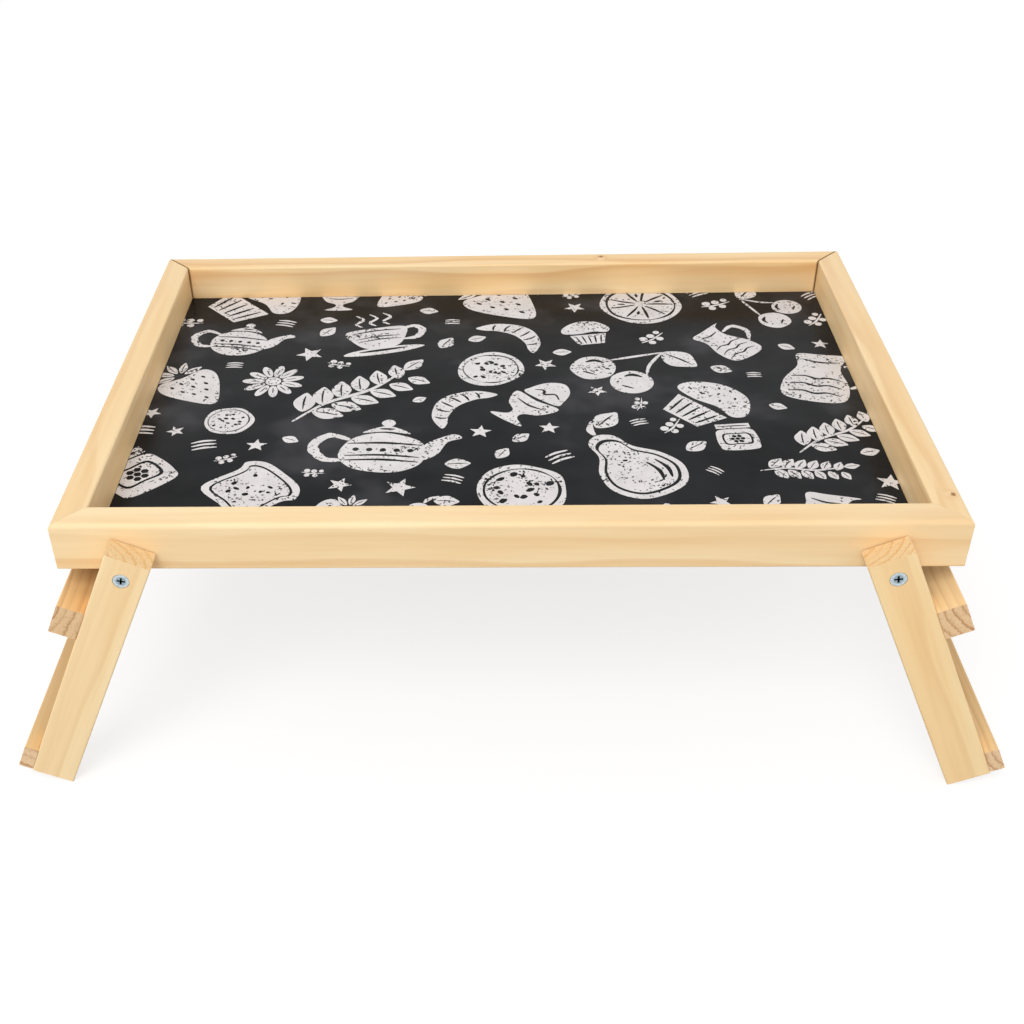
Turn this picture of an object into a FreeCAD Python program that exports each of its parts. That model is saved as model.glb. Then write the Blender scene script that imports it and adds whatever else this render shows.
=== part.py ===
"""Folding bed tray table in pine: a mitred frame round a printed board, on two hinged leg frames.

Millimetres. Z is up and 0 at the floor, X runs along the tray, the front is towards -Y, and the
origin lies under the middle of the tray. The legs stand at their open, leaning rest position.
"""
import FreeCAD, Part
import os
import re
import Sketcher

SIZES = (
    ("tray_length", 500, "frame, outside, along X"),
    ("tray_depth", 340, "frame, outside, along Y"),
    ("rail_width", 18, "rail, across the top"),
    ("rail_height", 30.5, "rail, top to bottom"),
    ("rail_round", 3, "radius of a rail's outer top edge"),
    ("inner_round", 1.5, "radius of a rail's inner top edge"),
    ("lower_round", 1, "radius of a rail's outer bottom edge"),
    ("front_mitre_gap", 0.1, "open line of the two front mitres"),
    ("back_mitre_gap", 0.6, "open line of the two back mitres"),
    ("rabbet_width", 8, "step under the rail that takes the board, inwards"),
    ("rabbet_depth", 5.7, "the same step, upwards"),
    ("board_thick", 3, "hardboard panel"),
    ("board_play", 0.5, "gap round the panel in the rabbet"),
    ("film_thick", 0.3, "printed laminate on the panel"),
    ("film_play", 0.3, "gap round the laminate, inside the rails"),
    ("pivot_inset", 40, "pivot axis from the end of the tray"),
    ("pivot_rise", 4, "pivot axis above the underside of the rails"),
    ("lean_angle", 24, "legs from upright, outwards, in degrees"),
    ("leg_width", 26, "leg, across its front face"),
    ("leg_thick", 15, "leg, front to back"),
    ("leg_top", 14, "leg beyond the pivot, to its top end"),
    ("leg_foot", 168, "leg below the pivot, to its foot"),
    ("leg_ease", 1, "radius of the legs' long edges"),
    ("stop_bar_thick", 16, "stop bar, outwards from the leg"),
    ("stop_bar_width", 20.5, "stop bar, along the leg"),
    ("stop_bar_drop", 31.5, "pivot to the stop bar's upper face"),
    ("foot_bar_thick", 8.5, "foot bar, outwards from the leg"),
    ("foot_bar_width", 17, "foot bar, along the leg"),
    ("foot_bar_lift", 1, "foot bar short of the end of the leg"),
    ("bar_ease", 0.8, "radius of the bars' long edges"),
    ("washer_radius", 6, "washer between leg and rail"),
    ("washer_bore", 2.3, "radius of its hole"),
    ("washer_thick", 0.8, "washer"),
    ("washer_play", 0.1, "running gap between washer and leg"),
    ("screw_length", 25, "pivot screw, head face to tip"),
    ("screw_radius", 2, "pivot screw, shank"),
    ("screw_tip", 4, "length of its point"),
    ("head_radius", 4.5, "countersunk head, which narrows at 45 degrees"),
    ("head_rim", 0.4, "straight rim of the head"),
    ("head_sink", 0.2, "head face below the face of the leg"),
    ("recess_reach", 2.3, "cross recess, middle to the end of an arm"),
    ("recess_slot", 1.1, "cross recess, width of an arm"),
    ("recess_depth", 2, "cross recess"),
    ("pivot_play", 0.08, "radial running fit of a leg on its screw"),
    ("sink_play", 0.3, "countersink wider than the head, radially"),
    ("fixed_play", 0.02, "room round a screw, brad or staple in its own hole"),
    ("tip_room", 0.5, "hole deeper than the screw, brad or staple in it"),
    ("brad_width", 1.25, "brads that fix the bars, across the leg's thickness"),
    ("brad_thick", 1, "their wire, along the leg"),
    ("brad_head", 2.2, "width of their heads"),
    ("brad_cap", 1, "thickness of their heads, flush with the bar"),
    ("stop_brad_length", 30, "brads of the stop bar"),
    ("foot_brad_length", 22, "brads of the foot bar"),
    ("brad_pitch", 9, "the two brads of a joint, apart"),
    ("staple_wire", 0.9, "staples that hold the panel up in the rabbet, square wire"),
    ("staple_crown", 7, "across their two legs, outside"),
    ("staple_leg", 12, "their legs, up through the panel"),
    ("staple_end", 60, "outer staples of a rail from the end of the rail"),
    ("angle_inset", 4.5, "corner angles, pressed up into the mitres, from the outer faces"),
    ("angle_arm", 6, "each arm of a corner angle"),
    ("angle_thick", 0.8, "its sheet"),
    ("angle_height", 10, "up into the joint"),
)

DERIVED = (
    ("pivot_gap", "=washer_thick + washer_play", "leg to rail"),
    ("pivot_offset", "=tray_length / 2 - pivot_inset", "pivot from the middle of the tray, along X"),
    ("leg_plane", "=tray_depth / 2 + pivot_gap + leg_thick", "outer face of the legs from the middle"),
    ("leg_middle", "=leg_plane - leg_thick / 2", "middle of the legs' thickness from the middle"),
    ("pivot_level", "=leg_foot * cos(lean_angle * 1deg) + leg_width / 2 * sin(lean_angle * 1deg)",
     "pivot above the floor, with the legs standing on the inner edges of their ends"),
    ("frame_bottom", "=pivot_level - pivot_rise", "underside of the rails above the floor"),
    ("board_bottom", "=frame_bottom + rabbet_depth - board_thick", "underside of the panel"),
    ("head_cone", "=head_radius - screw_radius", "depth of the head's 45 degree cone"),
    ("screw_bite", "=head_sink + screw_length - leg_thick - pivot_gap", "screw inside the rail"),
)

doc = FreeCAD.newDocument("bed_tray")
sheet = doc.addObject("Spreadsheet::Sheet", "sizes")
for row, (alias, number, note) in enumerate(SIZES + DERIVED, start=1):
    sheet.set(f"A{row}", alias)
    sheet.set(f"B{row}", str(number))
    sheet.set(f"C{row}", note)
    sheet.setAlias(f"B{row}", alias)
doc.recompute()

ALIASES = re.compile(r"\b(" + "|".join(row[0] for row in SIZES + DERIVED) + r")\b")
SIDES = {"left": -1, "right": 1}
ENDS = {"front": -1, "back": 1}
UPRIGHT = FreeCAD.Vector(0, 0, 1)
pieces = []
cuts = []


def bind(item, path, formula):
    """Bind one property of a document object to a formula in the sheet's names."""
    item.setExpression(path, ALIASES.sub(r"sizes.\1", formula))


def value(formula):
    """The formula's present value, for a first drawing that the bound sizes then hold."""
    return float(sheet.evalExpression(formula))


def new_piece(label):
    body = doc.addObject("PartDesign::Body", label)
    body.Label = label
    pieces.append(body)
    return body


def new_sketch(body, plane, offset=None):
    """An empty sketch on one of the body's own planes, or a bound distance along its normal."""
    sketch = body.newObject("Sketcher::SketchObject", "sketch")
    support = next(item for item in body.Origin.OriginFeatures if item.Role == plane)
    sketch.AttachmentSupport = [(support, "")]
    sketch.MapMode = "FlatFace"
    if offset:
        bind(sketch, "AttachmentOffset.Base.z", offset)
    return sketch


def pin_points(sketch, points):
    """Hold points, each given as (line, its end, across, along), at bound distances from the origin."""
    distances = [(kind, line, end, formula) for line, end, across, along in points
                 for kind, formula in (("DistanceX", across), ("DistanceY", along))]
    held = sketch.addConstraint([Sketcher.Constraint(kind, -1, 1, line, end, value(formula))
                                 for kind, line, end, formula in distances])
    for at, (_, _, _, formula) in zip(held, distances):
        bind(sketch, f"Constraints[{at}]", formula)


def draw_outline(sketch, corners):
    """A closed outline of straight lines through (x, y) formulas."""
    spots = [FreeCAD.Vector(value(across), value(along), 0) for across, along in corners]
    following = spots[1:] + spots[:1]
    lines = sketch.addGeometry([Part.LineSegment(*span) for span in zip(spots, following)], False)
    sketch.addConstraint([Sketcher.Constraint("Coincident", line, 2, after, 1)
                          for line, after in zip(lines, lines[1:] + lines[:1])])
    pin_points(sketch, [(line, 1, *corner) for line, corner in zip(lines, corners)])


def draw_rectangle(sketch, left, right, low, high):
    draw_outline(sketch, ((left, low), (right, low), (right, high), (left, high)))


def draw_slots(sketch, centres, width, height, play="0"):
    """Like rectangles about their centres, each side let out by the play."""
    half_width = f"(({width}) / 2 + {play})"
    half_height = f"(({height}) / 2 + {play})"
    for across, along in centres:
        draw_rectangle(sketch, f"{across} - {half_width}", f"{across} + {half_width}",
                       f"{along} - {half_height}", f"{along} + {half_height}")


def draw_circles(sketch, centres, radius):
    for across, along in centres:
        middle = FreeCAD.Vector(value(across), value(along), 0)
        circle = sketch.addGeometry(Part.Circle(middle, UPRIGHT, value(radius)), False)
        pin_points(sketch, [(circle, 3, across, along)])
        held = sketch.addConstraint(Sketcher.Constraint("Radius", circle, value(radius)))
        bind(sketch, f"Constraints[{held}]", radius)


def pad(body, sketch, length, backwards=False, both_ways=False):
    feature = body.newObject("PartDesign::Pad", "pad")
    feature.Profile = sketch
    bind(feature, "Length", length)
    feature.Reversed = backwards
    feature.Midplane = both_ways
    return feature


def pocket(body, sketch, depth, backwards=False):
    """A cut against the sketch plane's normal, or along it when it runs backwards."""
    feature = body.newObject("PartDesign::Pocket", "pocket")
    feature.Profile = sketch
    bind(feature, "Length", depth)
    feature.Reversed = backwards
    cuts.append(feature)
    return feature


def turn(body, sketch, cut=False):
    """A full turn of the sketch about its own vertical axis, as material or as a cut."""
    feature = body.newObject("PartDesign::Groove" if cut else "PartDesign::Revolution", "turned")
    feature.Profile = sketch
    feature.ReferenceAxis = (sketch, ["V_Axis"])
    feature.Angle = 360
    if cut:
        cuts.append(feature)
    return feature


def round_edges(body, base, radius, chosen):
    """Round the straight edges of the base feature whose middles the test picks out."""
    base.recompute(True)
    names = [f"Edge{at}" for at, edge in enumerate(base.Shape.Edges, start=1)
             if chosen(edge.BoundBox.Center, edge.Length)]
    feature = body.newObject("PartDesign::Fillet", "rounding")
    feature.Base = (base, names)
    bind(feature, "Radius", radius)
    return feature


def same(first, second):
    return abs(first - second) < 0.001


def place(body, across, along, height, angle=None, axis=UPRIGHT):
    """Set the piece at bound distances, turned by a bound angle about one axis."""
    body.Placement = FreeCAD.Placement(FreeCAD.Vector(), FreeCAD.Rotation(axis, 1 if angle else 0))
    bind(body, "Placement.Base.x", across)
    bind(body, "Placement.Base.y", along)
    bind(body, "Placement.Base.z", height)
    if angle:
        bind(body, "Placement.Rotation.Angle", angle)


# --- the tray: four mitred rails, panel and printed film ---------------------------------------

def angle_outline(end, corner, play):
    """A corner angle in plan, `end` telling which end of the rail it closes."""
    near = f"angle_inset - {play}"
    inner = f"angle_inset + angle_thick + {play}"
    far = f"angle_inset + angle_arm + {play}"
    steps = ((near, near), (far, near), (far, inner), (inner, inner), (inner, far), (near, far))
    return [(f"{end} * ({corner} - ({inwards}))", upwards) for inwards, upwards in steps]


def staples_along(length):
    """Middles of one rail's three staples, along the rail from its own middle."""
    return [f"{step} * ({length} / 2 - staple_end)" for step in (-1, 0, 1)]


def staple_legs(middle):
    return [f"{middle} + {step} * (staple_crown - staple_wire) / 2" for step in (-1, 1)]


def make_rail(label, length, across, along, angle, gaps, has_pivots):
    """A rail lies along its own X, its outer face at Y 0, its inner face towards +Y."""
    body = new_piece(label)
    ends = [f"({length} / 2 - {gap} / sqrt(2))" for gap in gaps]
    plan = new_sketch(body, "XY_Plane")
    draw_outline(plan, ((f"-{ends[0]}", "0"), (ends[1], "0"),
                        (f"{ends[1]} - rail_width", "rail_width"),
                        (f"-{ends[0]} + rail_width", "rail_width")))
    solid = pad(body, plan, "rail_height")

    top = value("rail_height")
    inner = value("rail_width")
    solid = round_edges(body, solid, "rail_round", lambda at, long: same(at.y, 0) and same(at.z, top))
    solid = round_edges(body, solid, "lower_round", lambda at, long: same(at.y, 0) and same(at.z, 0))
    solid = round_edges(body, solid, "inner_round",
                        lambda at, long: same(at.y, inner) and same(at.z, top))

    rabbet = new_sketch(body, "XY_Plane")
    draw_rectangle(rabbet, f"-{length} / 2", f"{length} / 2", "rail_width - rabbet_width", "rail_width")
    pocket(body, rabbet, "rabbet_depth", backwards=True)

    leg_holes = new_sketch(body, "XY_Plane")
    centres = [(spot, "rail_width - rabbet_width / 2")
               for middle in staples_along(length) for spot in staple_legs(middle)]
    draw_slots(leg_holes, centres, "staple_wire", "staple_wire", "fixed_play")
    pocket(body, leg_holes, "rabbet_depth - board_thick + staple_leg + tip_room", backwards=True)

    for end in (-1, 1):
        slot = new_sketch(body, "XY_Plane")
        draw_outline(slot, angle_outline(end, f"{length} / 2", "fixed_play"))
        pocket(body, slot, "angle_height + tip_room", backwards=True)

    if has_pivots:
        pilot_holes = new_sketch(body, "XZ_Plane")
        centres = [("-pivot_offset", "pivot_rise"), ("pivot_offset", "pivot_rise")]
        draw_circles(pilot_holes, centres, "screw_radius + fixed_play")
        pocket(body, pilot_holes, "screw_bite + tip_room")
    place(body, across, along, "frame_bottom", angle)


FRONT = "front_mitre_gap"
BACK = "back_mitre_gap"
make_rail("rail_front", "tray_length", "0", "-tray_depth / 2", None, (FRONT, FRONT), has_pivots=True)
make_rail("rail_back", "tray_length", "0", "tray_depth / 2", "180", (BACK, BACK), has_pivots=True)
make_rail("rail_left", "tray_depth", "-tray_length / 2", "0", "-90", (BACK, FRONT), has_pivots=False)
make_rail("rail_right", "tray_depth", "tray_length / 2", "0", "90", (FRONT, BACK), has_pivots=False)

RABBET_MIDDLE = "({} / 2 - rail_width + rabbet_width / 2)"


def staple_rows(body, part, play):
    """One sketch per rail of its staples in plan, as their crowns or as the sections of their legs."""
    for length, other, turned in (("tray_length", "tray_depth", False), ("tray_depth", "tray_length", True)):
        middles = staples_along(length)
        spots = middles if part == "crown" else [leg for spot in middles for leg in staple_legs(spot)]
        size = ("staple_crown" if part == "crown" else "staple_wire", "staple_wire")
        for row in (-1, 1):
            line = f"{row} * " + RABBET_MIDDLE.format(other)
            centres = [(line, spot) if turned else (spot, line) for spot in spots]
            sketch = new_sketch(body, "XY_Plane")
            draw_slots(sketch, centres, *(reversed(size) if turned else size), play)
            yield sketch


def make_tray_board():
    """The panel fills the rabbet, its top against the step, and is pierced by the staples."""
    body = new_piece("tray_board")
    edge = "({} / 2 - rail_width + rabbet_width - board_play)"
    half_length = edge.format("tray_length")
    half_depth = edge.format("tray_depth")
    plan = new_sketch(body, "XY_Plane")
    draw_rectangle(plan, f"-{half_length}", half_length, f"-{half_depth}", half_depth)
    pad(body, plan, "board_thick")
    for row in staple_rows(body, "legs", "fixed_play"):
        pocket(body, row, "board_thick", backwards=True)
    place(body, "0", "0", "board_bottom")


def make_printed_film():
    """The laminate is trimmed to the opening between the rails and stuck to the panel."""
    body = new_piece("printed_film")
    plan = new_sketch(body, "XY_Plane")
    half_length = "(tray_length / 2 - rail_width - film_play)"
    half_depth = "(tray_depth / 2 - rail_width - film_play)"
    draw_rectangle(plan, f"-{half_length}", half_length, f"-{half_depth}", half_depth)
    pad(body, plan, "film_thick")
    place(body, "0", "0", "frame_bottom + rabbet_depth")


def make_board_staples():
    """Staples driven upwards through the panel; their crowns lie on its underside."""
    body = new_piece("board_staples")
    for row in staple_rows(body, "legs", "0"):
        pad(body, row, "staple_leg")
    for row in staple_rows(body, "crown", "0"):
        pad(body, row, "staple_wire", backwards=True)
    place(body, "0", "0", "board_bottom")


def make_corner_angles():
    """Steel angles pressed up into the four mitres from below."""
    body = new_piece("corner_angles")
    for end in (-1, 1):
        for side in (-1, 1):
            plan = new_sketch(body, "XY_Plane")
            corners = [(across, f"{side} * (tray_depth / 2 - ({inwards}))")
                       for across, inwards in angle_outline(end, "tray_length / 2", "0")]
            draw_outline(plan, corners)
            pad(body, plan, "angle_height")
    place(body, "0", "0", "frame_bottom")


make_tray_board()
make_printed_film()
make_board_staples()
make_corner_angles()


# --- the pivots: screw and washer, in a frame whose Y axis is the pivot ---------------------------
# The outer face of the leg is at Y 0 there, and `inward` is the way from it to the rail.

def make_screw(label, side, end, recess_turn):
    inward = -ENDS[end]
    body = new_piece(label)
    half = new_sketch(body, "XY_Plane")
    profile = (("0", "head_sink"), ("head_radius", "head_sink"),
               ("head_radius", "head_sink + head_rim"),
               ("screw_radius", "head_sink + head_rim + head_cone"),
               ("screw_radius", "head_sink + screw_length - screw_tip"),
               ("0", "head_sink + screw_length"))
    draw_outline(half, [(out, f"{inward} * ({depth})") for out, depth in profile])
    turn(body, half)

    recess = new_sketch(body, "XZ_Plane")
    slot = "recess_slot / 2"
    arm = (("recess_reach", f"-{slot}"), ("recess_reach", slot), (slot, slot))
    quarter_turns = ((1, 0), (0, 1), (-1, 0), (0, -1))
    cross = [(f"({cosine}) * ({out}) - ({sine}) * ({up})", f"({sine}) * ({out}) + ({cosine}) * ({up})")
             for cosine, sine in quarter_turns for out, up in arm]
    draw_outline(recess, cross)
    pocket(body, recess, "head_sink + recess_depth", backwards=inward < 0)
    place(body, f"{SIDES[side]} * pivot_offset", f"{ENDS[end]} * leg_plane", "pivot_level",
          recess_turn, FreeCAD.Vector(0, 1, 0))


def make_washer(label, side, end):
    inward = -ENDS[end]
    body = new_piece(label)
    half = new_sketch(body, "XY_Plane")
    near = f"{inward} * (leg_thick + washer_play)"
    far = f"{inward} * (leg_thick + washer_play + washer_thick)"
    draw_rectangle(half, "washer_bore", "washer_radius", near, far)
    turn(body, half)
    place(body, f"{SIDES[side]} * pivot_offset", f"{ENDS[end]} * leg_plane", "pivot_level")


RECESS_TURNS = {("left", "front"): "12", ("right", "front"): "-8", ("left", "back"): "31",
                ("right", "back"): "5"}
for (side, end), recess_turn in RECESS_TURNS.items():
    make_screw(f"pivot_screw_{end}_{side}", side, end, recess_turn)
    make_washer(f"pivot_washer_{end}_{side}", side, end)


# --- the leg frames: X across the leg, Z along it, the pivot at the origin ----------------------------

BARS = {
    "stop_bar": {"thick": "stop_bar_thick", "width": "stop_bar_width", "top": "stop_bar_drop",
                 "brad": "stop_brad_length"},
    "foot_bar": {"thick": "foot_bar_thick", "width": "foot_bar_width",
                 "top": "leg_foot - foot_bar_lift - foot_bar_width", "brad": "foot_brad_length"},
}


def lean(body, side, along):
    """Hang the piece at the pivot and lean it outwards."""
    outward = SIDES[side]
    place(body, f"{outward} * pivot_offset", along, "pivot_level", f"-({outward}) * lean_angle",
          FreeCAD.Vector(0, 1, 0))


def brad_levels(bar):
    """Levels of a bar's two brads at each leg, from the pivot."""
    middle = f"-({bar['top']} + {bar['width']} / 2)"
    return [f"{middle} + {step} * brad_pitch / 2" for step in (-1, 1)]


def brad_spots(bar):
    return [(f"{end} * leg_middle", level) for end in ENDS.values() for level in brad_levels(bar)]


def make_leg(label, side, end):
    outward = SIDES[side]
    inward = -ENDS[end]
    body = new_piece(label)
    face = new_sketch(body, "XZ_Plane")
    draw_rectangle(face, "-leg_width / 2", "leg_width / 2", "-leg_foot", "leg_top")
    solid = pad(body, face, "leg_thick", backwards=inward > 0)
    long_edge = value("leg_foot + leg_top")
    round_edges(body, solid, "leg_ease", lambda at, long: same(long, long_edge))

    bore = new_sketch(body, "XY_Plane")
    profile = (("0", "0"), ("head_radius + sink_play", "0"),
               ("head_radius + sink_play", "head_sink + head_rim"),
               ("screw_radius + sink_play", "head_sink + head_rim + head_cone"),
               ("screw_radius + pivot_play", "head_sink + head_rim + head_cone + sink_play - pivot_play"),
               ("screw_radius + pivot_play", "leg_thick"), ("0", "leg_thick"))
    draw_outline(bore, [(out, f"{inward} * ({depth})") for out, depth in profile])
    turn(body, bore, cut=True)

    for bar in BARS.values():
        holes = new_sketch(body, "YZ_Plane", f"{outward} * leg_width / 2")
        centres = [(f"{inward} * leg_thick / 2", level) for level in brad_levels(bar)]
        draw_slots(holes, centres, "brad_width", "brad_thick", "fixed_play")
        pocket(body, holes, f"{bar['brad']} - {bar['thick']} + tip_room", backwards=outward < 0)
    lean(body, side, f"{ENDS[end]} * leg_plane")


def make_bar(label, side, bar):
    """A bar lies across the outer faces of the two legs, its ends flush with their faces."""
    outward = SIDES[side]
    body = new_piece(label)
    near = f"{outward} * leg_width / 2"
    far = f"{outward} * (leg_width / 2 + {bar['thick']})"
    section = new_sketch(body, "XZ_Plane")
    draw_rectangle(section, near, far, f"-({bar['top']} + {bar['width']})", f"-({bar['top']})")
    solid = pad(body, section, "2 * leg_plane", both_ways=True)
    long_edge = value("2 * leg_plane")
    round_edges(body, solid, "bar_ease", lambda at, long: same(long, long_edge))

    for width, depth in (("brad_width", bar["thick"]), ("brad_head", "brad_cap")):
        holes = new_sketch(body, "YZ_Plane", far)
        draw_slots(holes, brad_spots(bar), width, "brad_thick", "fixed_play")
        pocket(body, holes, depth, backwards=outward < 0)
    lean(body, side, "0")


def make_brads(label, side, bar):
    """Two brads to a leg, driven through the bar, their heads flush with its outer face."""
    outward = SIDES[side]
    body = new_piece(label)
    for width, length in (("brad_width", bar["brad"]), ("brad_head", "brad_cap")):
        section = new_sketch(body, "YZ_Plane", f"{outward} * (leg_width / 2 + {bar['thick']})")
        draw_slots(section, brad_spots(bar), width, "brad_thick")
        pad(body, section, length, backwards=outward > 0)
    lean(body, side, "0")


for side in SIDES:
    for end in ENDS:
        make_leg(f"leg_{end}_{side}", side, end)
    for name, bar in BARS.items():
        make_bar(f"{name}_{side}", side, bar)
        make_brads(f"{name}_brads_{side}", side, bar)


# --- checks and export ------------------------------------------------------------------------------

doc.recompute()
for item in doc.Objects:
    if "Invalid" in item.State or "Error" in item.State:
        raise RuntimeError(f"{item.Label} did not compute")
for feature in cuts:
    if feature.Shape.Volume >= feature.BaseFeature.Shape.Volume:
        raise RuntimeError(f"{feature.Label} removed nothing")
for body in pieces:
    if body.Shape.isNull() or not body.Shape.isValid():
        raise RuntimeError(f"{body.Label} has no sound shape")

os.makedirs("parts", exist_ok=True)
for body in pieces:
    body.Shape.exportStep(f"parts/{body.Label}.step")
print(len(pieces), "pieces written")
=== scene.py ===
"""Looks of a folding bed tray in pine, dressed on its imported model, which is in metres."""

import math
import random

import bmesh
import bpy
from mathutils import Euler, Matrix, Vector


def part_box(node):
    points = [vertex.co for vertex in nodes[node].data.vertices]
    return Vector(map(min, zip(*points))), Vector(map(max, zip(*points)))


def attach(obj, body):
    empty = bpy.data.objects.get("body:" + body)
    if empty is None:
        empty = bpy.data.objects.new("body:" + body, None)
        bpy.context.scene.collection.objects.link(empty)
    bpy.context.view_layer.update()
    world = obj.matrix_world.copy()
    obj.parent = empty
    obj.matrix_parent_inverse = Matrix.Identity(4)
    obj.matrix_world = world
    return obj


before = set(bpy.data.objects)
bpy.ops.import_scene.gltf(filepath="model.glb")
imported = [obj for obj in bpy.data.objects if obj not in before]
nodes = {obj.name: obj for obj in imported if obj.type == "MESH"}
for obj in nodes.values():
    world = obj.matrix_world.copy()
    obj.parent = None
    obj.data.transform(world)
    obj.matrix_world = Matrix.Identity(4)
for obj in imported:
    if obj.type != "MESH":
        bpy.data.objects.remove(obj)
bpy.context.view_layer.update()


# --- The four rails ---------------------------------------------------------------------------------
# Strips of planed pine, mitred at the corners and glued, with corner angles pressed in from below.
# Pale sapwood with broad, soft growth rings; the outer top edges are well rounded, and a thin clear
# coat leaves them satin. Each strip comes from another board, so each has its own rings and tone.

def linear(code):
    """An sRGB hex colour as linear red, green, blue and alpha."""
    parts = [int(code[at:at + 2], 16) / 255 for at in (1, 3, 5)]
    return (*(part / 12.92 if part <= 0.04045 else ((part + 0.055) / 1.055) ** 2.4 for part in parts), 1)


def add_node(tree, kind, inputs, **settings):
    """A shader node with its settings; each input is linked, if given a socket, or set."""
    node = tree.nodes.new("ShaderNode" + kind)
    for name, setting in settings.items():
        setattr(node, name, setting)
    for name, source in inputs.items():
        if isinstance(source, bpy.types.NodeSocket):
            tree.links.new(source, node.inputs[name])
        else:
            node.inputs[name].default_value = source
    return node


def new_material(name):
    """An empty material: its node tree and its Principled shader."""
    material = bpy.data.materials.new(name)
    material.use_nodes = True
    return material, material.node_tree, material.node_tree.nodes["Principled BSDF"]


def shade(tree, stops, factor):
    """Colours or greys laid along a factor, as pairs of a place and an sRGB colour or a number."""
    ramp = add_node(tree, "ValToRGB", {"Fac": factor}).color_ramp
    for at, (place, tone) in enumerate(stops):
        stop = ramp.elements[at] if at < 2 else ramp.elements.new(place)
        stop.position = place
        stop.color = linear(tone) if isinstance(tone, str) else (tone, tone, tone, 1)
    return tree.nodes[-1].outputs["Color"]


def use(name, material):
    """Give a node of the frame its finish."""
    nodes[name].data.materials.clear()
    nodes[name].data.materials.append(material)


# Each strip's pattern starts this many millimetres further along the grain than the last one's.
NEXT_BOARD = 37.0


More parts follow.
